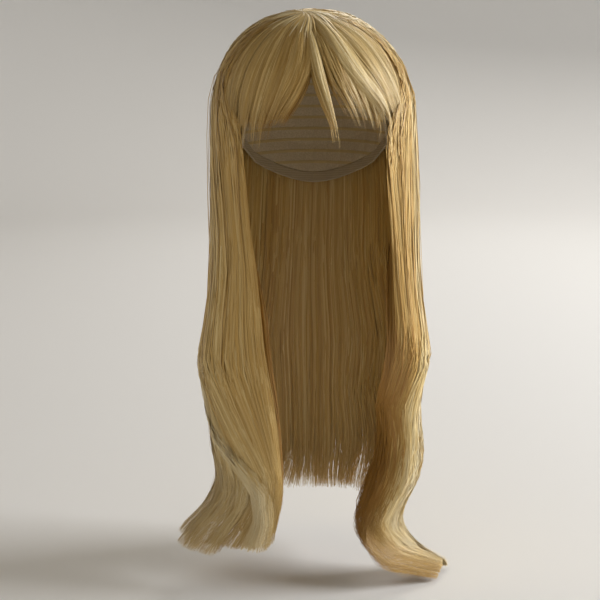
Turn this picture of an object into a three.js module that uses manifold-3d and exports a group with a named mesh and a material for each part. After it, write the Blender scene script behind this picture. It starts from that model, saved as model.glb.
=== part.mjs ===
// A long blond costume wig: a sewn cap, its elastic edge, and the hair that hangs from it in locks.
// Millimetres, +Z up, the face side towards -Y. The origin is the top of the head inside the cap.
//
// All the hair is one field. A place in it has a turn, a travel and a layer. The turn is the angle
// round the head: 0 at the face, 90 at the viewer's right, -90 at the left, 180 at the back. The
// travel is how far along the hair: 0 at the whorl, 1 at the widest level of the head, 2 at the full
// length. The layer is the depth in the hair: 0 against the cap and 1 outside. A lock is a box in
// these three numbers, and its body is a few locks fused to a thin backing, the weft they are sewn to.
import * as THREE from 'three';
import { mergeVertices } from 'three/addons/utils/BufferGeometryUtils.js';
import Module from 'manifold-3d';

// The head that the cap fits
const headWidth = 150;
const headDepth = 190;
const headRise = 95; // from the widest level up to the crown
const headFall = 110; // how fast the head draws in below the widest level

// The cap and its elastic edge
const capWall = 1.5;
const bandWall = 2;
const bandWidth = 9;

// The hair
const crownLoft = 11; // hair standing above the cap at the crown
const sideLoft = 23; // hair standing out at the widest level
const frontLoft = 10;
const backLoft = 19;
const hairWall = 18; // depth of the hair where it hangs
const hangLength = 440; // from the widest level down to the tips
const whorlAside = 11; // the point that the hair falls from lies left of the middle and forward
const whorlForward = 34;
const crownLean = 0.12; // how much rounder the crown is on its left than on its right
const patchRadius = 10; // of the sewn swirl that closes the cap at the whorl

// Clearances
const edgeGap = 0.3; // between the cap and its elastic edge
const seatGap = 1.5; // between the cap and the hair, with room for the facets of both
const seamGap = 0.5; // between two bodies of hair

const capHalfWidth = headWidth / 2 + capWall;
const capHalfDepth = headDepth / 2 + capWall;
const hairHalfWidth = capHalfWidth + sideLoft;
const hairFront = capHalfDepth + frontLoft;
const hairBack = capHalfDepth + backLoft;

// A table is its column names and its rows of numbers
const table = (columns, rows) =>
  rows.map((row) => Object.fromEntries(columns.split(' ').map((column, k) => [column, row[k]])));

// The cap's edge round the head: turn in degrees, and depth below the crown as a share of headRise.
// The rows are the hairline, the temple, the tab in front of the ear, over the ear, behind it, the nape.
const capEdge = table('turn depth', [
  [0, 0.32],
  [45, 0.56],
  [72, 1.2],
  [98, 1.03],
  [128, 1.36],
  [180, 1.58],
]);

// The hanging hair, a row for each level. drop is a share of hangLength. left and right are shares of
// hairHalfWidth, front of hairFront, back of hairBack and wall of hairWall. leftEdge and rightEdge are
// the turns of the front edges beside the face, and leftSeam and rightSeam part side from back.
const levels = table('drop left right front back leftEdge rightEdge leftSeam rightSeam wall', [
  [0.0, 1.005, 0.97, 1.0, 1.0, 66, 66, 108, 108, 1.0],
  [0.1, 1.015, 1.0, 0.94, 0.97, 64, 66, 108, 108, 1.0],
  [0.21, 1.015, 1.02, 0.86, 0.89, 54, 63, 106, 108, 1.0],
  [0.33, 1.025, 1.015, 0.78, 0.82, 40, 56, 104, 108, 0.97],
  [0.44, 1.09, 1.11, 0.73, 0.79, 31, 50, 102, 106, 0.92],
  [0.53, 1.16, 1.16, 0.71, 0.77, 26, 46, 101, 104, 0.87],
  [0.63, 1.085, 1.03, 0.69, 0.77, 23, 45, 100, 102, 0.82],
  [0.73, 1.045, 1.11, 0.68, 0.79, 22, 44, 98, 100, 0.78],
  [0.81, 0.99, 1.06, 0.68, 0.82, 22, 37, 94, 96, 0.74],
  [0.87, 1.13, 0.89, 0.69, 0.85, 22, 34, 90, 92, 0.7],
  [0.91, 1.32, 0.875, 0.71, 0.87, 21, 34, 87, 88, 0.66],
  [0.955, 1.46, 1.02, 0.72, 0.88, 21, 41, 84, 85, 0.6],
  [0.98, 1.45, 1.19, 0.72, 0.88, 21, 54, 82, 84, 0.57],
  [1.0, 1.42, 1.38, 0.72, 0.88, 22, 68, 80, 84, 0.55],
]);

// The bodies of the fringe: the turns of both edges at the root and at the tip, and the travel at
// which the backing ends
const fringeBodies = table('name rootFrom rootTo tipFrom tipTo backing', [
  ['fringe_left', -66, -4, -60, -20, 0.72],
  ['fringe_centre', -4, 6, 6, 13, 0.4],
  ['fringe_right', 6, 66, 18, 60, 0.66],
]);

// Every lock: from and to are shares of the way across its body, length is a travel, tip is the share
// of the width left at the end, and roof is its outermost layer
const locks = table('body from to length tip roof', [
  ['fringe_left', 0.0, 0.38, 0.98, 0.5, 0.94],
  ['fringe_left', 0.33, 0.71, 1.0, 0.45, 0.84],
  ['fringe_left', 0.65, 1.0, 0.975, 0.4, 0.9],
  ['fringe_centre', 0.0, 1.0, 1.045, 0.35, 0.86],
  ['fringe_right', 0.0, 0.17, 0.87, 0.5, 0.6],
  ['fringe_right', 0.15, 0.42, 0.93, 0.5, 0.8],
  ['fringe_right', 0.38, 0.7, 0.99, 0.6, 0.9],
  ['fringe_right', 0.66, 1.0, 1.01, 0.6, 0.96],
  ['side_left', 0.0, 0.3, 1.92, 0.9, 0.94],
  ['side_left', 0.25, 0.55, 1.95, 0.9, 1.0],
  ['side_left', 0.49, 0.79, 1.96, 0.85, 0.9],
  ['side_left', 0.74, 1.0, 1.935, 0.8, 1.0],
  ['side_right', 0.0, 0.32, 1.995, 0.9, 0.92],
  ['side_right', 0.27, 0.58, 2.0, 0.9, 1.0],
  ['side_right', 0.53, 0.82, 1.99, 0.85, 0.9],
  ['side_right', 0.76, 1.0, 1.975, 0.8, 0.98],
  ['back', 0.0, 0.19, 1.88, 0.7, 0.96],
  ['back', 0.16, 0.36, 1.905, 0.7, 0.9],
  ['back', 0.32, 0.53, 1.89, 0.7, 1.0],
  ['back', 0.48, 0.69, 1.91, 0.7, 0.9],
  ['back', 0.65, 0.85, 1.89, 0.7, 0.98],
  ['back', 0.81, 1.0, 1.88, 0.7, 0.92],
]);

// The long bodies: the travel at which the backing ends, and its columns
const longBodies = table('name backing columns', [
  ['side_left', 1.9, 6],
  ['side_right', 1.955, 6],
  ['back', 1.84, 12],
]);
const backingShare = 0.3; // the backing's part of the depth
const rootInBacking = 0.15; // the layer inside the backing that its locks start from

const degrees = Math.PI / 180;
const mix = (a, b, share) => a + (b - a) * share;
const clamp = (value) => Math.min(1, Math.max(0, value));
const ease = (value) => clamp(value) ** 2 * (3 - 2 * clamp(value));

// A smooth curve through one column of a table, level at both ends, at a value of the column across
function read(rows, across, column, at) {
  const last = rows.length - 1;
  let row = 0;
  while (row < last - 1 && at > rows[row + 1][across]) row += 1;
  const slope = (k) => {
    if (k === 0 || k === last) return 0;
    return (rows[k + 1][column] - rows[k - 1][column]) / (rows[k + 1][across] - rows[k - 1][across]);
  };
  const step = rows[row + 1][across] - rows[row][across];
  const t = (at - rows[row][across]) / step;
  const here = rows[row][column] * (1 + 2 * t) + slope(row) * step * t;
  const next = rows[row + 1][column] * (3 - 2 * t) - slope(row + 1) * step * (1 - t);
  return here * (1 - t) ** 2 + next * t * t;
}

const level = (column, drop) => read(levels, 'drop', column, drop);

// How far the hair reaches from the middle along X and Y, at a turn, a layer and a drop
function reach(turn, layer, drop) {
  const onLeft = Math.sin(turn * degrees) < 0;
  const inFront = Math.cos(turn * degrees) > 0;
  const outerX = hairHalfWidth * level(onLeft ? 'left' : 'right', drop);
  const outerY = inFront ? hairFront * level('front', drop) : hairBack * level('back', drop);
  const wall = hairWall * level('wall', drop);
  const away = ease(drop / levels[1].drop); // from the cap's own shape to the hanging wall
  const innerX = mix(capHalfWidth + seatGap, outerX - wall, away);
  const innerY = mix(capHalfDepth + seatGap, outerY - wall, away);
  return { x: mix(innerX, outerX, layer), y: mix(innerY, outerY, layer) };
}

function ringPoint(turn, layer, drop) {
  const { x, y } = reach(turn, layer, drop);
  return { x: x * Math.sin(turn * degrees), y: -y * Math.cos(turn * degrees) };
}

// The height of the hair over a plan point of the dome, a superellipsoid
function domeHeight(x, y, layer) {
  const turn = Math.atan2(x, -y) / degrees;
  const { x: halfX, y: halfY } = reach(turn, layer, 0);
  const rise = mix(headRise + capWall + seatGap, headRise + capWall + crownLoft, layer);
  const power = mix(2, 2.2 - crownLean * Math.sin(turn * degrees), layer);
  const out = clamp(Math.hypot(x / halfX, y / halfY));
  return -headRise + rise * (1 - out ** power) ** (1 / power);
}

// A place in the hair. On the dome the hair runs straight from the whorl in plan, and then it hangs.
function hairPoint(turn, layer, travel) {
  if (travel > 1) {
    const drop = travel - 1;
    const { x, y } = ringPoint(turn, layer, drop);
    return new THREE.Vector3(x, y, -headRise - hangLength * drop);
  }
  const end = ringPoint(turn, layer, 0);
  const alongX = end.x + whorlAside;
  const alongY = end.y + whorlForward;
  const start = (patchRadius + seamGap) / Math.hypot(alongX, alongY);
  const out = mix(start, 1, Math.sin((travel * Math.PI) / 2));
  const x = alongX * out - whorlAside;
  const y = alongY * out - whorlForward;
  return new THREE.Vector3(x, y, domeHeight(x, y, layer));
}

// Half a seam, as a turn in degrees: near the whorl the same gap takes a larger turn
function seamTurn(travel) {
  const out = mix(patchRadius / hairHalfWidth, 1, Math.sin((Math.min(travel, 1) * Math.PI) / 2));
  return seamGap / 2 / (out * capHalfWidth) / degrees;
}

// A closed solid between two grids of points, place(column, row, face) with face 0 inside and 1
// outside. A wrapped one goes right round, and a row that meets in one point closes by itself.
function closedSheet(columns, rows, wrapped, place) {
  const positions = [];
  const index = (i, j, face) => (face * (rows + 1) + j) * (columns + 1) + i;
  for (let face = 0; face < 2; face += 1) {
    for (let j = 0; j <= rows; j += 1) {
      for (let i = 0; i <= columns; i += 1) {
        const p = place(wrapped ? i % columns : i, j, face);
        positions.push(p.x, p.y, p.z);
      }
    }
  }
  const faces = [];
  const quad = (a, b, c, d) => faces.push(a, b, c, a, c, d);
  for (let i = 0; i < columns; i += 1) {
    for (let j = 0; j < rows; j += 1) {
      quad(index(i, j, 1), index(i, j + 1, 1), index(i + 1, j + 1, 1), index(i + 1, j, 1));
      quad(index(i, j, 0), index(i + 1, j, 0), index(i + 1, j + 1, 0), index(i, j + 1, 0));
    }
    quad(index(i, 0, 0), index(i, 0, 1), index(i + 1, 0, 1), index(i + 1, 0, 0));
    quad(index(i, rows, 1), index(i, rows, 0), index(i + 1, rows, 0), index(i + 1, rows, 1));
  }
  for (let j = 0; j < rows && !wrapped; j += 1) {
    quad(index(0, j, 0), index(0, j + 1, 0), index(0, j + 1, 1), index(0, j, 1));
    quad(index(columns, j, 1), index(columns, j + 1, 1), index(columns, j + 1, 0), index(columns, j, 0));
  }
  return facingOut(positions, faces);
}

// Merges points that meet, drops the triangles that this closes up, and turns the faces outwards
function facingOut(positions, faces) {
  const loose = new THREE.BufferGeometry();
  loose.setAttribute('position', new THREE.Float32BufferAttribute(positions, 3));
  loose.setIndex(faces);
  const merged = mergeVertices(loose, 1e-3);
  const at = (k) => new THREE.Vector3().fromBufferAttribute(merged.getAttribute('position'), k);
  const kept = [];
  let volume = 0;
  for (let k = 0; k < merged.index.count; k += 3) {
    const [a, b, c] = [0, 1, 2].map((n) => merged.index.getX(k + n));
    if (a === b || b === c || c === a) continue;
    kept.push([a, b, c]);
    volume += at(a).dot(at(b).cross(at(c)));
  }
  merged.setIndex(kept.flatMap(([a, b, c]) => (volume < 0 ? [a, c, b] : [a, b, c])));
  return merged;
}

// One solid from several that run into each other, without the slivers where they cross
const sliver = 0.08;
const solids = await Module();
solids.setup();
function fuse(geometries) {
  const parts = geometries.map((geometry) => new solids.Manifold(new solids.Mesh({
    numProp: 3,
    vertProperties: geometry.getAttribute('position').array,
    triVerts: Uint32Array.from(geometry.index.array),
  })));
  const mesh = solids.Manifold.union(parts).simplify(sliver).getMesh();
  const fused = new THREE.BufferGeometry();
  fused.setAttribute('position', new THREE.Float32BufferAttribute(mesh.vertProperties, 3));
  fused.setIndex(Array.from(mesh.triVerts));
  return fused;
}

// The cap is an ellipsoid. slant is the angle down from the crown, and out is how far off the head.
function capPoint(turn, slant, out) {
  const across = Math.sin(slant * degrees);
  const height = Math.cos(slant * degrees);
  return new THREE.Vector3(
    (headWidth / 2 + out) * across * Math.sin(turn * degrees),
    -(headDepth / 2 + out) * across * Math.cos(turn * degrees),
    -headRise + ((height > 0 ? headRise : headFall) + out) * height,
  );
}

function edgeSlant(turn) {
  const side = Math.min(turn, 360 - turn);
  const below = headRise * (read(capEdge, 'turn', 'depth', side) - 1);
  return 90 + Math.asin(below / (below < 0 ? headRise : headFall)) / degrees;
}

const capColumns = 32;
const capRows = 8;
const turnOf = (column) => (360 / capColumns) * column;
const slantOf = (length) => length / (headDepth / 2) / degrees;

const capShell = () => closedSheet(capColumns, capRows, true, (i, j, face) =>
  capPoint(turnOf(i), (edgeSlant(turnOf(i)) * j) / capRows, face * capWall));

const edgeBand = () => closedSheet(capColumns, 1, true, (i, j, face) =>
  capPoint(turnOf(i), edgeSlant(turnOf(i)) + slantOf(edgeGap * 2 + bandWidth * j), face * bandWall));

// The swirl that closes the cap at the whorl: a low round cushion of turned hair
function crownSwirl() {
  const columns = 14;
  const rows = 2;
  const height = [1, 0.9, 0.45];
  return closedSheet(columns, rows, true, (i, j, face) => {
    const out = (patchRadius * j) / rows;
    const turn = (2 * Math.PI * i) / columns;
    const x = out * Math.cos(turn) - whorlAside;
    const y = out * Math.sin(turn) - whorlForward;
    return new THREE.Vector3(x, y, domeHeight(x, y, face * height[j]));
  });
}

// Travels at which all the hair has a row: six down the dome, and closer together towards the tips
const domeRows = 6;
const hangRows = 16;
const travels = [
  ...Array.from({ length: domeRows }, (_, k) => k / domeRows),
  ...Array.from({ length: hangRows + 1 }, (_, k) => 1 + (k / hangRows) ** 0.8),
];

function rowsBetween(begin, end) {
  const nearest = 0.02;
  const between = travels.filter((travel) => travel > begin + nearest && travel < end - nearest);
  return [begin, ...between, end];
}

// The turns of both edges of each body of hair, by travel
const hangOf = (travel) => Math.max(travel - 1, 0);
const bodyEdges = {
  side_left: (travel) => [-level('leftEdge', hangOf(travel)), -level('leftSeam', hangOf(travel))],
  side_right: (travel) => [level('rightEdge', hangOf(travel)), level('rightSeam', hangOf(travel))],
  back: (travel) => [level('rightSeam', hangOf(travel)), 360 - level('leftSeam', hangOf(travel))],
};
fringeBodies.forEach(({ name, rootFrom, rootTo, tipFrom, tipTo }) => {
  bodyEdges[name] = (travel) => [mix(rootFrom, tipFrom, travel ** 3), mix(rootTo, tipTo, travel ** 3)];
});

// The turns of a piece that takes the shares from..to of a body's way across, clear of the seams
function turnsAcross(body, from, to, travel, inset) {
  const [first, last] = bodyEdges[body](travel);
  const clear = Math.sign(last - first) * seamTurn(travel) * inset;
  return [mix(first + clear, last - clear, from), mix(first + clear, last - clear, to)];
}

// A lock: round outside, narrowing over its last part to tip times its width
const edgeFullness = 0.3; // depth of a lock at its edges, as a share of its depth in the middle
const tipFullness = 0.55; // depth of a lock at its end, as a share of its depth above
function lockSolid({ body, from, to, length, tip, roof }) {
  const rows = rowsBetween(0, length);
  const columns = 4;
  const narrowing = length > 1.5 ? 0.22 : 0.4;
  return closedSheet(columns, rows.length - 1, false, (i, j, face) => {
    const travel = rows[j];
    const [first, last] = turnsAcross(body, from, to, travel, 1);
    const across = Math.sin(((i / columns) * 2 - 1) * 90 * degrees);
    const along = clamp((travel - (length - narrowing)) / narrowing);
    const width = mix(tip, 1, Math.sqrt(1 - along * along));
    const turn = (first + last) / 2 + ((last - first) / 2) * across * width;
    const fullness = mix(edgeFullness, 1, Math.sqrt(1 - across * across)) * mix(1, tipFullness, along * along);
    return hairPoint(turn, mix(rootInBacking, roof, face * fullness), travel);
  });
}

function backingSolid(body, length, columns) {
  const rows = rowsBetween(0.03, length);
  return closedSheet(columns, rows.length - 1, false, (i, j, face) => {
    const [first, last] = turnsAcross(body, 0, 1, rows[j], 2);
    return hairPoint(mix(first, last, i / columns), backingShare * face, rows[j]);
  });
}

const hairBody = (body, length, columns) =>
  fuse([backingSolid(body, length, columns), ...locks.filter((row) => row.body === body).map(lockSolid)]);

const material = (color, roughness) => new THREE.MeshStandardMaterial({ color, roughness, metalness: 0 });
const hairLook = () => material(0xd8bd82, 0.45);
const wig = new THREE.Group();
function add(name, geometry, look) {
  geometry.computeVertexNormals();
  const mesh = new THREE.Mesh(geometry, look);
  mesh.name = name;
  wig.add(mesh);
}

add('cap', capShell(), material(0xc9b58c, 0.9));
add('cap_edge_band', edgeBand(), material(0xb59f78, 0.8));
add('crown_swirl', crownSwirl(), hairLook());
fringeBodies.forEach(({ name, backing }) => add(name, hairBody(name, backing, 4), hairLook()));
longBodies.forEach(({ name, backing, columns }) => add(name, hairBody(name, backing, columns), hairLook()));

export default wig;
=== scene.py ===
# %% [markdown]
# # A long blond costume wig
# The wig is a thin sewn cap with an elastic edge, and thousands of fine shiny fibres that fall from a
# whorl near the crown: a split fringe, two long side locks that flick outwards at the ends, and a
# curtain down the back. The solids give the sizes. This lesson lays real strands of hair over them.

# %% Load the solids
import math

import bpy
import numpy as np
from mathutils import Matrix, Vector


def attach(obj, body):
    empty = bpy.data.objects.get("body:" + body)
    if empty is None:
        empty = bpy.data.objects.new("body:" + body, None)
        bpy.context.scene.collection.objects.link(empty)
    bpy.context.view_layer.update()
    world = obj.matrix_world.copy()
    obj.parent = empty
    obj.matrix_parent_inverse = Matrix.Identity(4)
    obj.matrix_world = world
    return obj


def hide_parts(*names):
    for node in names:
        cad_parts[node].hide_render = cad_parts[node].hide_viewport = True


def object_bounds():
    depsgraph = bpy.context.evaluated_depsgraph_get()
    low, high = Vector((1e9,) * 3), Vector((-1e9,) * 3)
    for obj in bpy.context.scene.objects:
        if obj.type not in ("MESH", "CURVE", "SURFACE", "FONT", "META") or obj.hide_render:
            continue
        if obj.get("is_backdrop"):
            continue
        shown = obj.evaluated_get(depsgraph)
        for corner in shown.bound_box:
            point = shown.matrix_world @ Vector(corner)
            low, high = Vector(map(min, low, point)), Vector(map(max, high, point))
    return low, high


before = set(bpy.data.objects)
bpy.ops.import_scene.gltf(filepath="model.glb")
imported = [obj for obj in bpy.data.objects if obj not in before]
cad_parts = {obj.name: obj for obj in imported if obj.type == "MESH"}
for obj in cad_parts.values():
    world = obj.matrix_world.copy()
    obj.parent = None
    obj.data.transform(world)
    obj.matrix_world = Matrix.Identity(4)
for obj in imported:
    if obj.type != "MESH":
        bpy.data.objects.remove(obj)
solid_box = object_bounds()
print("solids:", sorted(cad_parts))

# %% [markdown]
# ## Sizes and tables
# A wig is cut to a head, so every length comes from the head, the cap and how far the hair stands
# off it. Hair could be painted by hand, strand by strand, but a table with one row for each level is
# easy to compare with the real thing. The sizes, the hanging levels and the edges of the fringe are
# those of the solids. The locks are finer here, and how the side locks are combed is told only here.

# %% Sizes, in millimetres
HEAD_WIDTH, HEAD_DEPTH, HEAD_RISE = 150, 190, 95
CAP_WALL, SEAT_GAP = 1.5, 1.5
CROWN_LOFT, SIDE_LOFT, FRONT_LOFT, BACK_LOFT = 11, 23, 10, 19
HAIR_WALL, HANG_LENGTH = 18, 440
WHORL = np.array([-11.0, -34.0])
PATCH_RADIUS = 10
CROWN_LEAN = 0.12
ROOT_LAYER = 0.15
FACE_OVERLAP, SEAM_OVERLAP = 2, 7  # degrees that a side lock reaches over the face's edge and the seam
TEMPLE_LEAN = 31  # degrees that its outer layers lean over the temple

CAP_HALF_WIDTH = HEAD_WIDTH / 2 + CAP_WALL
CAP_HALF_DEPTH = HEAD_DEPTH / 2 + CAP_WALL
HAIR_HALF_WIDTH = CAP_HALF_WIDTH + SIDE_LOFT
HAIR_FRONT = CAP_HALF_DEPTH + FRONT_LOFT
HAIR_BACK = CAP_HALF_DEPTH + BACK_LOFT
print("hair is", 2 * HAIR_HALF_WIDTH, "mm wide at the widest level of the head")

# %% Tables: the hanging levels, the bodies of the fringe and the locks


def table(columns, rows):
    """A table as one array for each named column."""
    return {name: np.array([row[k] for row in rows]) for k, name in enumerate(columns.split())}


LEVELS = table("drop left right front back left_edge right_edge left_seam right_seam wall", [
    (0.0, 1.005, 0.97, 1.0, 1.0, 66, 66, 108, 108, 1.0),
    (0.1, 1.015, 1.0, 0.94, 0.97, 64, 66, 108, 108, 1.0),
    (0.21, 1.015, 1.02, 0.86, 0.89, 54, 63, 106, 108, 1.0),
    (0.33, 1.025, 1.015, 0.78, 0.82, 40, 56, 104, 108, 0.97),
    (0.44, 1.09, 1.11, 0.73, 0.79, 31, 50, 102, 106, 0.92),
    (0.53, 1.16, 1.16, 0.71, 0.77, 26, 46, 101, 104, 0.87),
    (0.63, 1.085, 1.03, 0.69, 0.77, 23, 45, 100, 102, 0.82),
    (0.73, 1.045, 1.11, 0.68, 0.79, 22, 44, 98, 100, 0.78),
    (0.81, 0.99, 1.06, 0.68, 0.82, 22, 37, 94, 96, 0.74),
    (0.87, 1.13, 0.89, 0.69, 0.85, 22, 34, 90, 92, 0.7),
    (0.91, 1.32, 0.875, 0.71, 0.87, 21, 34, 87, 88, 0.66),
    (0.955, 1.46, 1.02, 0.72, 0.88, 21, 41, 84, 85, 0.6),
    (0.98, 1.45, 1.19, 0.72, 0.88, 21, 54, 82, 84, 0.57),
    (1.0, 1.42, 1.38, 0.72, 0.88, 22, 68, 80, 84, 0.55),
])

FRINGE_EDGES = {  # turns of both edges at the root, then at the tip
    "fringe_left": (-66, -4, -60, -20),
    "fringe_centre": (-4, 6, 6, 13),
    "fringe_right": (6, 66, 18, 60),
}

# A lock takes the shares first to last of its body's width at the root and tip_first to tip_last at
# the tip. Length is a travel, roof a layer, which also sets how much painted shade its deep strands get,
# edge the fullness at the lock's edges, gather the width that its clumps keep at the tip, and pale a
# change of colour for the whole lock that is painted light and shade: below 0 for locks in shade and
# above 0 for lit ones.
LOCKS = table("body first last tip_first tip_last length roof tip_roof edge gather pale clumps strands", [
    ("fringe_left", 0.0, 0.42, 0.0, 0.4, 1.04, 0.9, 0.9, 0.75, 0.8, -0.2, 15, 800),
    ("fringe_left", 0.3, 0.74, 0.3, 0.72, 1.05, 0.94, 0.94, 0.75, 0.7, -0.24, 15, 800),
    ("fringe_left", 0.62, 1.1, 0.64, 0.97, 1.02, 0.9, 0.9, 0.6, 0.6, -0.28, 13, 560),
    ("fringe_centre", 0.0, 1.0, 0.62, 1.0, 1.06, 0.86, 0.86, 0.4, 0.25, 0.0, 5, 240),
    ("fringe_right", 0.0, 0.34, 0.05, 0.45, 0.8, 0.85, 0.85, 0.7, 0.6, -0.2, 9, 220),
    ("fringe_right", 0.0, 0.5, 0.15, 0.62, 1.03, 0.8, 0.8, 0.6, 0.3, -0.1, 11, 180),
    ("fringe_right", 0.12, 0.42, 0.58, 0.72, 1.06, 1.05, 1.05, 0.5, 0.2, -0.05, 7, 580),
    ("fringe_right", 0.3, 0.72, 0.68, 0.92, 1.0, 0.88, 0.88, 0.7, 0.7, -0.12, 11, 620),
    ("fringe_right", 0.6, 1.0, 0.84, 1.0, 1.03, 0.9, 0.9, 0.7, 0.8, -0.08, 11, 540),
    ("side_left_front", 0.0, 0.34, 0.0, 0.3, 1.9, 0.92, 0.25, 0.85, 0.8, -0.22, 11, 800),
    ("side_left_front", 0.25, 0.62, 0.1, 0.5, 1.935, 0.95, 0.45, 0.85, 0.9, -0.12, 11, 800),
    ("side_left_rear", 0.5, 0.8, 0.36, 0.82, 1.955, 0.97, 0.8, 0.85, 1.0, 0.0, 11, 800),
    ("side_left_rear", 0.82, 1.0, 0.68, 1.0, 1.935, 0.97, 0.9, 0.85, 1.0, 0.0, 9, 600),
    ("side_left_rear", 0.7, 0.94, 0.0, 0.2, 1.93, 1.0, 1.4, 0.2, 0.8, 0.1, 9, 750),
    ("side_right_front", 0.0, 0.34, 0.0, 0.4, 2.01, 0.92, 0.9, 0.85, 0.7, -0.28, 11, 800),
    ("side_right_front", 0.25, 0.6, 0.22, 0.6, 2.01, 0.97, 0.85, 0.85, 0.6, 0.03, 11, 800),
    ("side_right_rear", 0.5, 0.84, 0.5, 0.86, 2.02, 0.96, 0.95, 0.85, 0.6, 0.14, 11, 850),
    ("side_right_rear", 0.74, 1.0, 0.76, 1.0, 2.02, 1.0, 1.1, 0.6, 0.6, 0.14, 9, 750),
    ("back_right_half", 0.0, 0.2, 0.0, 0.2, 1.88, 0.96, 0.96, 0.85, 0.9, 0.0, 9, 710),
    ("back_right_half", 0.15, 0.4, 0.15, 0.4, 1.905, 0.93, 0.93, 0.85, 0.9, 0.0, 9, 710),
    ("back_right_half", 0.33, 0.62, 0.33, 0.62, 1.89, 1.0, 1.0, 0.85, 0.9, 0.0, 9, 710),
    ("back_left_half", 0.4, 0.68, 0.4, 0.68, 1.91, 0.94, 0.94, 0.85, 0.9, 0.0, 9, 710),
    ("back_left_half", 0.61, 0.86, 0.61, 0.86, 1.89, 0.98, 0.98, 0.85, 0.9, 0.0, 9, 710),
    ("back_left_half", 0.8, 1.0, 0.8, 1.0, 1.88, 0.94, 0.94, 0.85, 0.9, 0.0, 9, 710),
])

# How the side locks are combed at each drop, in mm, and the sway in shares of the lock's width
COMBED = table("drop roll_left roll_right cup_right sag_right sway_left sway_right", [
    (0.0, 0, 0, 0, 0, 0.0, 0.0),
    (0.2, 6, 8, 0, 0, -0.03, 0.0),
    (0.45, 10, 14, 0, 0, 0.16, 0.1),
    (0.62, 14, 40, 0, 0, 0.06, -0.02),
    (0.78, 14, 56, 0, 0, -0.12, -0.1),
    (0.88, 10, 40, 2, 0, -0.04, -0.04),
    (0.94, 4, 14, 18, 4, 0.0, 0.0),
    (0.975, 1, 2, 24, 12, 0.0, 0.0),
    (1.0, 0, 0, 16, 10, 0.0, 0.0),
])
print(len(LOCKS["body"]), "locks with", LOCKS["strands"].sum(), "strands")

# %% [markdown]
# ## The hair field
# Real hair on a wig runs from a whorl over the dome of the head and then hangs. Particle hair could do
# it, but then nothing ties it to the solids. Here each spot of hair has three numbers: a turn round the
# head, a travel along the hair, and a layer in its depth. One function turns them into a place, so
# strands that keep their own turn and layer can't run through each other.

# %% Small curves


def mix(a, b, share):
    """a at share 0, b at share 1, and straight in between."""
    return a + (b - a) * share


def ease(value):
    """A soft step: 0 below 0, 1 above 1, and 3v^2 - 2v^3 in between."""
    v = np.clip(value, 0, 1)
    return v * v * (3 - 2 * v)


def level(column, drop, rows=LEVELS):
    """A column of the table at a drop: on each step a cubic that takes its slope at a row from the
    rows on either side of it, and is flat at both ends."""
    x, y = rows["drop"], rows[column]
    slope = np.zeros(len(x))
    slope[1:-1] = (y[2:] - y[:-2]) / (x[2:] - x[:-2])
    k = np.clip(np.searchsorted(x, drop) - 1, 0, len(x) - 2)
    step = x[k + 1] - x[k]
    t = (drop - x[k]) / step
    here = y[k] * (1 + 2 * t) + slope[k] * step * t
    following = y[k + 1] * (3 - 2 * t) - slope[k + 1] * step * (1 - t)
    return here * (1 - t) ** 2 + following * t ** 2


print("left reach half way down:", round(float(level("left", np.array(0.5))) * HAIR_HALF_WIDTH), "mm")

# %% The field


def reach(turn, layer, drop):
    """How far the hair reaches along X and Y: the outer ellipse comes from the table, the inner one lies
    on the cap at the top and a wall's depth inside the outer one below, and a layer is in between."""
    outer_x = HAIR_HALF_WIDTH * np.where(np.sin(turn) < 0, level("left", drop), level("right", drop))
    outer_y = np.where(np.cos(turn) > 0, HAIR_FRONT * level("front", drop), HAIR_BACK * level("back", drop))
    wall = HAIR_WALL * level("wall", drop)
    away = ease(drop / LEVELS["drop"][1])
    inner_x = mix(CAP_HALF_WIDTH + SEAT_GAP, outer_x - wall, away)
    inner_y = mix(CAP_HALF_DEPTH + SEAT_GAP, outer_y - wall, away)
    return mix(inner_x, outer_x, layer), mix(inner_y, outer_y, layer)


def dome_height(x, y, layer):
    """A superellipsoid over the head: rise times the root of 1 - out^power, where out is how far the
    spot is from the middle as a share of the ellipse at the widest level."""
    half_x, half_y = reach(np.arctan2(x, -y), layer, np.zeros_like(x))
    rise = mix(HEAD_RISE + CAP_WALL + SEAT_GAP, HEAD_RISE + CAP_WALL + CROWN_LOFT, layer)
    power = mix(2.0, 2.2 - CROWN_LEAN * x / np.hypot(x, y), np.clip(layer, 0, 1))
    out = np.clip(np.hypot(x / half_x, y / half_y), 0, 1)
    return -HEAD_RISE + rise * (1 - out ** power) ** (1 / power)


def hair_place(turn_degrees, layer, travel):
    """The place of a spot of hair. Up to travel 1 it runs straight away from the whorl in plan and lies
    on the dome. After that it follows the ellipse of its level, HANG_LENGTH down by travel 2."""
    turn = np.radians(turn_degrees)
    drop = np.clip(travel - 1, 0, 1)  # the last level holds to the very tips
    reach_x, reach_y = reach(turn, layer, drop)
    end = np.stack([reach_x * np.sin(turn), -reach_y * np.cos(turn)], -1)
    along = end - WHORL
    start = PATCH_RADIUS / np.linalg.norm(along, axis=-1)
    out = mix(start, 1, np.sin(np.clip(travel, 0, 1) * np.pi / 2))
    plan = WHORL + along * out[..., None]
    on_dome = dome_height(plan[..., 0], plan[..., 1], layer)
    height = np.where(travel > 1, -HEAD_RISE - HANG_LENGTH * (travel - 1), on_dome)
    return np.concatenate([plan, height[..., None]], -1)


print("lowest tip:", hair_place(np.array(70.0), np.array(1.0), np.array(2.0)).round(), "mm")


# %% [markdown]
# ## Bodies of hair
# The hair is worn in a few bodies: three of fringe, a long one at each side of the face, and the back.
# Each could be cut from the field by hand. Here its two edges are turns that change along the travel,
# and the curls of the side locks are combed in afterwards by small shifts of place, so that every
# strand of a lock moves with its neighbours.

# %% Edges of the bodies of hair


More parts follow.
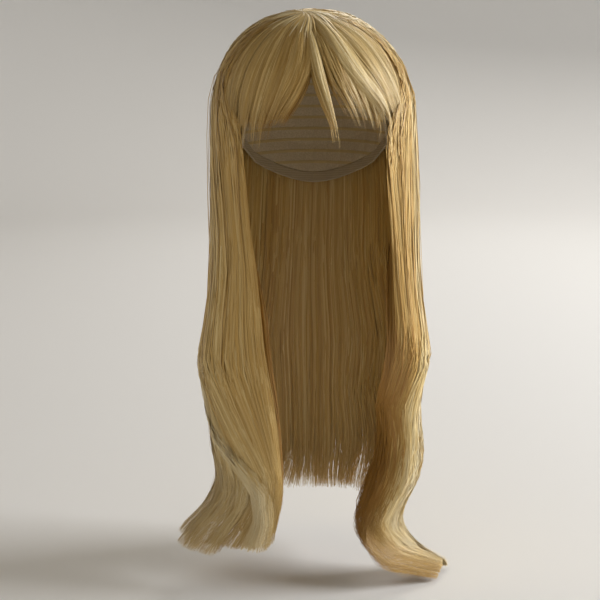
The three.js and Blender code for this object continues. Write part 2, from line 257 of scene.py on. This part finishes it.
def body_edges(body, travel):
    """The turns of a body's two edges along its travel. A fringe swings from its root turns to its tip
    turns with the cube of the travel; the long bodies read theirs from the table, and the sides reach a
    little over the seams."""
    drop = np.clip(travel - 1, 0, 1)
    if body in FRINGE_EDGES:
        root_first, root_last, tip_first, tip_last = FRINGE_EDGES[body]
        return mix(root_first, tip_first, travel ** 3), mix(root_last, tip_last, travel ** 3)
    if body.startswith("side_left"):
        return FACE_OVERLAP - level("left_edge", drop), -level("left_seam", drop) - SEAM_OVERLAP
    if body.startswith("side_right"):
        return level("right_edge", drop) - FACE_OVERLAP, level("right_seam", drop) + SEAM_OVERLAP
    return level("right_seam", drop), 360 - level("left_seam", drop)


def relief(turn, travel):
    """Soft locks combed into the surface, in layers: three sine waves across the hair, 20, 12 and 7
    degrees wide, that swing as they run down and fade out at the whorl."""
    waves = (0.5 * np.sin(turn / 3.2 + 2.1 * travel) + 0.3 * np.sin(turn / 1.9 - 3.3 * travel + 1)
             + 0.2 * np.sin(turn / 1.1 + 5.1 * travel + 2))
    return 0.08 * waves * ease(travel / 0.6)


def fold(body, turn, travel):
    """How far a spot of a side lock is into its middle and into its front edge. With share 0 at the
    front edge and 1 at the seam they are 4 share (1 - share) and (1 - share / 0.6)^2."""
    first, last = body_edges(body, travel)
    share = (turn - first) / (last - first)
    return 4 * share * np.clip(1 - share, 0, 1), np.clip(1 - share / 0.6, 0, 1.1) ** 2


def lock_place(body, turn, layer, travel):
    """The place of a spot of a body of hair: the field's place with the locks combed in. The middle of a
    side lock sways, its front edge rolls back, the right tip is cupped and sags, and at the temples the
    outer layers lean over the face's edge."""
    if not body.startswith("side"):
        return hair_place(turn, layer * (1 + relief(turn, travel)), travel)
    drop, hand = np.clip(travel - 1, 0, 1), body.split("_")[1]
    first, last = body_edges(body, travel)
    middle, front = fold(body, turn, travel)
    at_temple = ease((travel - 0.7) / 0.4) * (1 - ease(drop / 0.45))
    temple = TEMPLE_LEAN * front * np.clip(layer, 0, 1) * at_temple
    sway = middle * level("sway_" + hand, drop, COMBED) * (last - first)
    turn = turn + sway - np.sign(last - first) * temple
    place = hair_place(turn, layer * (1 + relief(turn, travel)), travel)
    place[..., 1] += front * level("roll_" + hand, drop, COMBED)
    if hand == "right":
        place[..., 1] += middle * level("cup_right", drop, COMBED)
        place[..., 2] -= (0.5 + 0.5 * front) * level("sag_right", drop, COMBED)
    return place


tip_turns = [round(float(turn)) for turn in body_edges("side_left", np.array(1.95))]
print("left side lock at its tips, degrees:", tip_turns)

# %% [markdown]
# ## Strands
# A fibre is finer than the picture can show, so each strand here stands for a small bundle of them: a
# thin closed ribbon of sixteen rings that lies flat on the hair below it and is drawn out to a point.
# Hair curves could be used, but ribbons are closed meshes that any program can read. Strands gather in
# clumps that lean and wave a little, which is what makes hair look combed and not machined.

# %% Where the strands run
RINGS = 16
STOPS = np.array([0, .18, .38, .58, .78, .98, 1.18, 1.36, 1.48, 1.59, 1.7, 1.8, 1.88, 1.94, 1.985, 2.03])
FRINGE_STOPS = np.linspace(0, 1.2, RINGS)


def strand_travel(root, tip, lean, stops):
    """Travels of a strand's rings, (strands, rings). The rings lie closest over the dome and towards
    the tips. Each strand shifts its own rings a little, so that their corners never line up."""
    count = np.arange(RINGS)
    first, last = np.interp(root, stops, count), np.interp(tip, stops, count)
    share = (count / (RINGS - 1))[None, :] ** (1 + lean[:, None])
    return np.interp(first[:, None] + (last - first)[:, None] * share, count, stops)


def lock_strands(k, rng):
    """Paths of one lock's strands, (strands, rings, 3) in mm, and the direction across each one. Most
    lie near the lock's outer face, some near its inner face. Each closes up to its clump at the tip."""
    lock = {name: column[k] for name, column in LOCKS.items()}
    n, clumps, is_long = int(lock["strands"]), int(lock["clumps"]), lock["length"] > 1.2
    clump = rng.integers(0, clumps, n)
    middle = (np.arange(clumps) + rng.uniform(0.2, 0.8, clumps)) / clumps * 2 - 1
    phase, pace = rng.uniform(0, 2 * np.pi, clumps), rng.uniform(1.1, 2.3, clumps)
    clump_length = lock["length"] - rng.gamma(2, 0.0015 if is_long else 0.02, clumps)
    gather = lock["gather"] * rng.uniform(0.7, 1.1, clumps)

    spread = rng.uniform(-1, 1, n) * 1.6 / clumps
    wander, drift = rng.normal(0, 0.05, n), rng.normal(0, 0.03, clumps)
    kind, depth = rng.random(n), rng.random(n)
    depth = np.where(kind < 0.55, 0.86 + 0.14 * depth, np.where(kind < 0.75, 0.03 + 0.15 * depth, depth))
    from_whorl = rng.random(n) < 0.55
    root = np.where(from_whorl, rng.uniform(0, 0.06, n), rng.uniform(0.06, 0.8 if is_long else 0.45, n))
    ragged = rng.gamma(2, 0.0025 if is_long else 0.035, n)
    tip = np.clip(clump_length[clump] - ragged, root + 0.15, lock["length"])
    travel = strand_travel(root, tip, rng.normal(0, 0.1, n), STOPS if is_long else FRINGE_STOPS)

    along = np.clip((travel - root[:, None]) / (tip - root)[:, None], 0, 1)
    closing = 0.2 if is_long else 0.6
    final = ease((travel - lock["length"] + closing) / closing)
    close = mix(1.0, gather[clump][:, None], final)
    astray = (drift[clump] + wander)[:, None] * ease(along)
    across = np.clip(middle[clump][:, None] + astray + spread[:, None] * close, -1, 1)
    swing = ease((travel - 1.56) / 0.34) if is_long else ease(travel / 1.05) ** 4
    edges = body_edges(lock["body"], travel)
    begin = mix(*edges, mix(lock["first"], lock["tip_first"], swing))
    finish = mix(*edges, mix(lock["last"], lock["tip_last"], swing))
    wave = np.sin(travel * pace[clump][:, None] * 2 * np.pi + phase[clump][:, None])
    turn = (begin + finish) / 2 + (finish - begin) / 2 * across
    turn = turn + wave * ease(travel - 0.7) * (0.6 if is_long else 0.2)

    fullness = mix(lock["edge"], 1.0, np.sqrt(1 - across ** 2))
    roof = mix(ROOT_LAYER, mix(lock["roof"], lock["tip_roof"], swing), fullness)
    rising = np.where(from_whorl[:, None], 1.0, ease((travel - root[:, None]) / 0.22))
    loose = np.where(rng.random(n) < 0.008, rng.uniform(0.05, 0.2, n), 0.0)[:, None] * np.sin(np.pi * along)
    layer = roof * depth[:, None] * rising + loose
    path = lock_place(lock["body"], turn, layer, travel)
    beside = lock_place(lock["body"], turn + 1, layer, travel)
    # painted shade: strands deep in the hair, and locks whose roof lies low, get a darker gold; pale adds
    # painted light to lit locks and painted shade to locks in shade
    tone_and_shade = (0.25 + 0.45 * roof.mean(1) * depth + lock["pale"])[:, None] + 0 * travel
    if lock["body"].startswith("side_right"):  # painted shade: a deeper gold inside the fold, most where it rolls back most
        front = fold(lock["body"], turn, travel)[1]
        rolled = level("roll_right", np.clip(travel - 1, 0, 1), COMBED)
        tone_and_shade -= 0.7 * front * rolled / COMBED["roll_right"].max()
    return {"path": path, "side": beside - path, "along": along, "tone_and_shade": tone_and_shade}


rng = np.random.default_rng(7)
sample = lock_strands(8, rng)
print("one lock's paths:", sample["path"].shape)

# %% [markdown]
# A ribbon has three corners at each ring: two edges on its outer side and one under its middle. Its
# shading normals are given here, nearly flat across, because the normals that Blender would work out
# run right round each ribbon and make silky hair look like wire.

# %% Ribbons from paths


def ribbon_rings(path, side, half_width, roll):
    """Corners of ribbons, (strands, rings, 3, 3), and shading normals, (strands, rings, 5, 3). Along is
    the path's direction, face is along x side, and both are turned by the roll about the path."""
    along = np.gradient(path, axis=1)
    along /= np.linalg.norm(along, axis=-1, keepdims=True)
    face = np.cross(along, side)
    face /= np.linalg.norm(face, axis=-1, keepdims=True)
    side = np.cross(face, along)
    c, s = np.cos(roll)[..., None], np.sin(roll)[..., None]
    side, face = side * c + face * s, face * c - side * s
    reach_side, reach_face = half_width[..., None] * side, 0.35 * half_width[..., None] * face
    corners = np.stack([path - reach_side + 0.4 * reach_face, path + reach_side + 0.4 * reach_face,
                        path - 0.8 * reach_face], 2)
    tilt = 0.3 * side
    normals = np.stack([face - tilt, face + tilt, -face + tilt, -face, -face - tilt], 2)
    return corners, normals / np.linalg.norm(normals, axis=-1, keepdims=True)


def ribbon_faces(strands):
    """Quads between the rings and triangles that close both ends, as corner numbers, and for each
    corner of each face the number of its shading normal."""
    ring = (np.arange(strands)[:, None] * RINGS + np.arange(RINGS - 1)[None, :]).reshape(-1, 1, 1)
    corner = np.array([[0, 0, 1, 1], [1, 1, 2, 2], [2, 2, 0, 0]])
    shade = np.array([[0, 0, 1, 1], [2, 2, 3, 3], [3, 3, 4, 4]])
    onward = np.array([0, 1, 1, 0])
    quads = (ring + onward) * 3 + corner
    quad_shades = (ring + onward) * 5 + shade
    root = np.arange(strands)[:, None] * RINGS
    tip = root + RINGS - 1
    ends = np.concatenate([root * 3 + np.array([[0, 1, 2]]), tip * 3 + np.array([[2, 1, 0]])])
    end_shades = np.concatenate([root * 5 + np.array([[0, 1, 3]]), tip * 5 + np.array([[3, 1, 0]])])
    return quads.reshape(-1, 4), ends, np.concatenate([quad_shades.ravel(), end_shades.ravel()])


print("faces of one ribbon:", sum(len(f) for f in ribbon_faces(1)[:2]))

# %% [markdown]
# ## From numbers to meshes
# A wig has far too many strands to add one face at a time. Blender takes whole arrays at once, which
# is hundreds of times faster, and the shading normals go in with them. All the strands of a body
# become one mesh, and the back and the sides two, so that no mesh grows too heavy.

# %% A mesh from arrays


def mesh_piece(name, vertices, quads, triangles, uv, normals):
    """A mesh object from whole arrays: vertices in mm, faces as rows of vertex numbers, a UV pair for
    each vertex, which each corner of a face takes over, and a shading normal for each corner."""
    mesh = bpy.data.meshes.new(name)
    corners = np.concatenate([quads.ravel(), triangles.ravel()]).astype(np.int32)
    sizes = np.concatenate([np.full(len(quads), 4), np.full(len(triangles), 3)]).astype(np.int32)
    mesh.vertices.add(len(vertices))
    mesh.vertices.foreach_set("co", (vertices * 0.001).astype(np.float32).ravel())
    mesh.loops.add(len(corners))
    mesh.loops.foreach_set("vertex_index", corners)
    mesh.polygons.add(len(sizes))
    mesh.polygons.foreach_set("loop_start", np.concatenate([[0], np.cumsum(sizes)[:-1]]).astype(np.int32))
    mesh.update(calc_edges=True)
    mesh.polygons.foreach_set("use_smooth", np.ones(len(sizes), bool))
    mesh.uv_layers.new(name="OFBake").uv.foreach_set("vector", uv[corners].astype(np.float32).ravel())
    mesh.normals_split_custom_set(normals.astype(np.float32))
    piece = bpy.data.objects.new(name, mesh)
    bpy.context.scene.collection.objects.link(piece)
    return piece


def ribbon_piece(name, path, side, half_width, roll, along, tone_and_shade):
    """Ribbons along many paths as one mesh. The UV map holds what the colour needs: a window of tones
    across the ribbon, from deep gold to pale blond, and how far along the ribbon a spot is."""
    vertices, normals = ribbon_rings(path, side, half_width, roll)
    uv = np.empty(vertices.shape[:3] + (2,))
    uv[..., 0] = mix(0.04, 0.96, tone_and_shade)[:, :, None] + np.array([-0.03, 0.03, 0])
    uv[..., 1] = mix(0.01, 0.99, along)[:, :, None]
    quads, triangles, shades = ribbon_faces(len(path))
    piece = mesh_piece(name, vertices.reshape(-1, 3), quads, triangles, uv.reshape(-1, 2),
                       normals.reshape(-1, 3)[shades])
    print(name, len(path), "strands,", 2 * len(quads) + len(triangles), "triangles")
    return piece


# %% The bodies of hair


def hair_piece(body, half_width, seed):
    """All the strands of one body of hair. A strand deep in the hair gets a deeper gold as painted shade, an
    outer one stays pale.
    """
    rng = np.random.default_rng(seed)
    made = [lock_strands(k, rng) for k in np.flatnonzero(LOCKS["body"] == body)]
    keys = ("path", "side", "along", "tone_and_shade")
    path, side, along, tone_and_shade = (np.concatenate([lock[key] for lock in made]) for key in keys)
    n = len(path)
    taper = mix(0.5, 1.0, ease(along / 0.1)) * mix(1.0, 0.1, ease((along - 0.75) / 0.25))
    width = half_width * rng.uniform(0.6, 1.3, n)[:, None] * taper
    roll = rng.normal(0, 0.1, n)[:, None] + rng.normal(0, 0.12, n)[:, None] * along
    tone_and_shade = np.clip(tone_and_shade + rng.normal(0, 0.09, n)[:, None], 0, 1)
    return ribbon_piece(body + "_strands", path, side, width, roll, along, tone_and_shade)


HALF_WIDTHS = {"fringe_left": 0.32, "fringe_centre": 0.32, "fringe_right": 0.32, "side_left_front": 0.7,
               "side_left_rear": 0.7, "side_right_front": 0.7, "side_right_rear": 0.7,
               "back_right_half": 0.9, "back_left_half": 0.9}
hair = {body: hair_piece(body, half, 11 + k) for k, (body, half) in enumerate(HALF_WIDTHS.items())}

# %% [markdown]
# ## The whorl
# Where all the hair starts, a real wig has a small turned patch that hides the stitches. A flat disc
# would show as a bald spot. Short strands that leave the middle on a slight curve and dip into the hair
# around it close it without an edge.

# %% The swirl at the whorl


def swirl_piece(strands, seed):
    """Short strands that close the whorl. In plan each runs out from the middle to the length given by
    its own reach and turns by twist x (1 - out)^2 on the way; its end dips into the hair below it."""
    rng = np.random.default_rng(seed)
    out = (np.arange(RINGS) / (RINGS - 1))[None, :]
    radius = 0.8 + rng.uniform(18, 46, strands)[:, None] * out
    turn = rng.uniform(0, 2 * np.pi, strands)[:, None] + 0.6 * (1 - out) ** 2
    layer = mix(1.02, 0.8, out ** 2) + rng.uniform(-0.12, 0.02, strands)[:, None]

    def place(turn):
        plan = np.stack([WHORL[0] + radius * np.sin(turn), WHORL[1] - radius * np.cos(turn)], -1)
        return np.concatenate([plan, dome_height(plan[..., 0], plan[..., 1], layer)[..., None]], -1)

    path, along = place(turn), np.repeat(out, strands, 0)
    width = 0.7 * mix(0.35, 1.0, ease(out / 0.3)) * mix(1.0, 0.15, ease((out - 0.6) / 0.4))
    tone_and_shade = rng.uniform(0.45, 0.95, strands)[:, None] + 0 * out
    roll = rng.normal(0, 0.2, strands)[:, None] + 0 * out
    side = place(turn + 0.05) - path
    return ribbon_piece("crown_swirl_strands", path, side, np.repeat(width, strands, 0), roll, along, tone_and_shade)


hair["crown_swirl"] = swirl_piece(420, 21)

# %% [markdown]
# ## Materials
# Synthetic hair is glossy plastic fibre, pale where light reaches it and a deeper gold where it passes
# through layers. That light and shade is painted into the colour, a small palette over the UV map, so
# it can be baked exactly.

# %% A socket that can be added and multiplied


class Value:
    """A number socket in a material, so that sums of values become Math nodes."""

    def __init__(self, material, socket):
        self.material, self.socket = material, socket

    def _math(self, operation, a, b):
        return node(self.material, "ShaderNodeMath", {"operation": operation}, {0: a, 1: b})

    def __add__(self, other):
        return self._math("ADD", self, other)

    __radd__ = __add__

    def __mul__(self, other):
        return self._math("MULTIPLY", self, other)

    __rmul__ = __mul__

    def __sub__(self, other):
        return self._math("SUBTRACT", self, other)

    def __rsub__(self, other):
        return self._math("SUBTRACT", other, self)


def node(material, kind, settings=None, inputs=None, output=0):
    """Any node: its settings first, then the numbers, colours or links of its sockets."""
    made = material.node_tree.nodes.new(kind)
    for name, setting in (settings or {}).items():
        setattr(made, name, setting)
    for name, value in (inputs or {}).items():
        if isinstance(value, Value):
            material.node_tree.links.new(value.socket, made.inputs[name])
        else:
            made.inputs[name].default_value = value
    return Value(material, made.outputs[output])


def mixed(material, share, a, b):
    """Colour a at share 0 and b at share 1, by a Mix node."""
    return node(material, "ShaderNodeMix", {"data_type": "RGBA"}, {0: share, 6: a, 7: b}, 2)


def finish_with(name, roughness, varying, **constants):
    """A material with one glossy shader: constants on its own sockets, and links for what varies."""
    material = bpy.data.materials.new(name)
    material.use_nodes = True
    shader = material.node_tree.nodes["Principled BSDF"]
    shader.inputs["Roughness"].default_value = roughness
    for socket, value in constants.items():
        shader.inputs[socket.replace("_", " ")].default_value = value
    for socket, value in varying(material).items():
        material.node_tree.links.new(value.socket, shader.inputs[socket])
    return material


# %% Hair colour


def hair_colours(material):
    """Deep gold to pale blond by tone, a shade deeper at the roots, with fine fibres that run along the
    ribbon: noise drawn out a hundred times longer than it is wide, as colour and as relief."""
    uv = node(material, "ShaderNodeUVMap", {"uv_map": "OFBake"})
    tone_and_shade = node(material, "ShaderNodeSeparateXYZ", {}, {0: uv}, 0)
    along = node(material, "ShaderNodeSeparateXYZ", {}, {0: uv}, 1)
    drawn = node(material, "ShaderNodeVectorMath", {"operation": "MULTIPLY"}, {0: uv, 1: (130, 4, 0)})
    fibre = node(material, "ShaderNodeTexNoise", {"noise_dimensions": "2D"}, {"Vector": drawn, "Scale": 1.0})
    blond = node(material, "ShaderNodeValToRGB", {}, {0: tone_and_shade + (fibre - 0.5) * 0.35})
    ramp = blond.socket.node.color_ramp
    ramp.elements[0].color = (0.38, 0.18, 0.03, 1)
    ramp.elements[1].color = (0.93, 0.83, 0.58, 1)
    ramp.elements.new(0.3).color = (0.57, 0.35, 0.09, 1)
    ramp.elements.new(0.6).color = (0.78, 0.59, 0.26, 1)
    rooted = mixed(material, along * 10.0, (0.66, 0.46, 0.17, 1), blond)
    relief = node(material, "ShaderNodeBump", {}, {"Strength": 0.5, "Distance": 0.0002, "Height": fibre})
    return {"Base Color": rooted, "Normal": relief, "Roughness": fibre * 0.15 + 0.33}


hair_finish = finish_with("blond_fibre", 0.34, hair_colours, Specular_IOR_Level=0.5)
print("hair finish:", hair_finish.name)

# %% [markdown]
# The cap is a net with rows of stitches, and its elastic is woven with fine ribs. Both could be painted
# as images. Waves and cells worked out from the place on the wig need no picture and stay sharp at any
# distance. Both finishes are matt, so that they stay behind the glossy hair.

# %% Cap and elastic


def net_colours(material):
    """Sewn rows 11 mm apart over a fine net: thin lines by height, and a small weave as relief."""
    place = node(material, "ShaderNodeTexCoord", {}, {}, 3)
    wave = node(material, "ShaderNodeTexWave", {"bands_direction": "Z"}, {"Vector": place, "Scale": 28.0}, 1)
    soft = {"interpolation_type": "SMOOTHSTEP"}
    rows = node(material, "ShaderNodeMapRange", soft, {0: wave, 1: 0.75, 2: 0.95})
    net = node(material, "ShaderNodeTexVoronoi", {}, {"Vector": place, "Scale": 700.0})
    weave = mixed(material, net, (0.5, 0.4, 0.25, 1), (0.66, 0.55, 0.37, 1))
    colour = mixed(material, rows, weave, (0.56, 0.42, 0.2, 1))
    height = rows + net * 0.4
    bump = node(material, "ShaderNodeBump", {}, {"Strength": 0.5, "Distance": 0.0006, "Height": height})
    return {"Base Color": colour, "Normal": bump}


def elastic_colours(material):
    """Fine ribs that run along the band, as relief and as a slight change of shade."""
    place = node(material, "ShaderNodeTexCoord", {}, {}, 3)
    upright = {"bands_direction": "Z"}
    ribs = node(material, "ShaderNodeTexWave", upright, {"Vector": place, "Scale": 180.0}, 1)
    colour = mixed(material, ribs, (0.42, 0.33, 0.2, 1), (0.54, 0.44, 0.29, 1))
    bump = node(material, "ShaderNodeBump", {}, {"Strength": 0.4, "Distance": 0.0004, "Height": ribs})
    return {"Base Color": colour, "Normal": bump}


cap_finish = finish_with("sewn_net", 0.85, net_colours)
band_finish = finish_with("ribbed_elastic", 0.8, elastic_colours)

for name, finish in (("cap", cap_finish), ("cap_edge_band", band_finish)):
    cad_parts[name].data.materials.clear()
    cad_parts[name].data.materials.append(finish)
print("finishes:", [m.name for m in bpy.data.materials])

# %% [markdown]
# ## Joining it to the solids
# The whole wig is soft and has no joint, so every piece rides on the one body. Each body of strands
# stands for the solid of the same name.

# %% Ride, replace and give the hair its finish
STANDS_FOR = {
    "back_right_half": "back", "back_left_half": "back",
    "side_left_front": "side_left", "side_left_rear": "side_left",
    "side_right_front": "side_right", "side_right_rear": "side_right",
}
for body, piece in hair.items():
    piece.data.materials.append(hair_finish)
    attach(piece, "root")
    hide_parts(STANDS_FOR.get(body, body))
print("pieces of hair:", len(hair))

# %% [markdown]
# ## Floor, light and camera
# A soft lamp high on the right gives the bright side and the long gloss down the hair, as a window
# would. A weak warm one on the left keeps the dark side readable, and one behind lifts the crown and the
# back off the floor. Lamps close by would be brighter on the near side than on the far one, so they
# stand a few metres away. The floor is flat below the wig and rises all round like a studio's backdrop.

# %% Floor
FLOOR_SIZE, FLOOR_TILES = 14, 112  # metres, and tiles along a side
FLAT_REACH, BELOW_TIPS = 2.6, 0.002
lowest = min(corner[2] for piece in hair.values() for corner in piece.bound_box)
span = np.linspace(-FLOOR_SIZE / 2, FLOOR_SIZE / 2, FLOOR_TILES + 1)
sheet_x, sheet_y = np.meshgrid(span, span)
rise = 0.35 * np.clip(np.hypot(sheet_x, sheet_y) - FLAT_REACH, 0, None) ** 2
sheet = np.stack([sheet_x, sheet_y, rise + lowest - BELOW_TIPS], -1).reshape(-1, 3)
tiles = np.arange(FLOOR_TILES)
corner = (tiles[:, None] * (FLOOR_TILES + 1) + tiles).reshape(-1, 1)
around = np.array([0, 1, FLOOR_TILES + 2, FLOOR_TILES + 1])
floor_mesh = bpy.data.meshes.new("floor")
floor_mesh.from_pydata(sheet.tolist(), [], (corner + around).tolist())
floor_mesh.polygons.foreach_set("use_smooth", np.ones(FLOOR_TILES ** 2, bool))
floor = bpy.data.objects.new("floor", floor_mesh)
bpy.context.scene.collection.objects.link(floor)
floor_mesh.materials.append(finish_with("pale_floor", 0.9, lambda m: {}, Base_Color=(0.8, 0.79, 0.77, 1)))
floor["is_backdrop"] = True
print("floor at", round(lowest, 4))

# %% Light


def lamp(name, place, target, size, power, colour):
    """A square area lamp at a place, turned to a target."""
    data = bpy.data.lights.new(name, "AREA")
    data.size, data.energy, data.color = size, power, colour
    made = bpy.data.objects.new(name, data)
    bpy.context.scene.collection.objects.link(made)
    made.location = place
    direction = np.array(target) - np.array(place)
    made.rotation_euler = Vector(direction).to_track_quat("-Z", "Y").to_euler()
    return made


lamp("key", (3.4, 0.15, 1.1), (0, 0, -0.22), 1.7, 148, (0.97, 0.98, 1.0))
lamp("fill", (-1.6, -1.2, 0.3), (0, 0, -0.25), 1.2, 1.8, (1.0, 0.78, 0.46))
lamp("back_light", (0.9, 2.6, 1.5), (0, 0, -0.2), 1.4, 30, (1.0, 0.97, 0.93))
world = bpy.data.worlds.new("room")
world.use_nodes = True
world.node_tree.nodes["Background"].inputs["Color"].default_value = (0.94, 0.82, 0.62, 1)
world.node_tree.nodes["Background"].inputs["Strength"].default_value = 0.18
bpy.context.scene.world = world
bpy.context.scene.view_settings.view_transform = "Standard"

# %% [markdown]
# The camera stands where the photographer stood: in front of the face, a little above it and looking
# down. Its lens is worked out from how wide a stretch it sees at that distance, so a longer lens from
# farther away would give the same width with less perspective.

# %% Camera
AIM = np.array([-0.014, -0.015, -0.264])
AWAY, LIFT, SEEN = 1.25, math.radians(12), 0.582
camera = bpy.data.objects.new("camera", bpy.data.cameras.new("camera"))
bpy.context.scene.collection.objects.link(camera)
camera.location = AIM + AWAY * np.array([0, -math.cos(LIFT), math.sin(LIFT)])
camera.rotation_euler = (math.pi / 2 - LIFT, 0, 0)
camera.data.lens = 36 * AWAY / SEEN
bpy.context.scene.camera = camera
print("lens", round(camera.data.lens, 1))

# %% [markdown]
# ## Closing
# Last, the box round the dressed wig is set beside the box round the solids, because strands may stand
# only a little outside the shapes that give the sizes.

# %% Close
dressed_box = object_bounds()
grown = (np.array(dressed_box) - np.array(solid_box)) * 1000
print("grew by, mm:", grown.round(1).tolist())
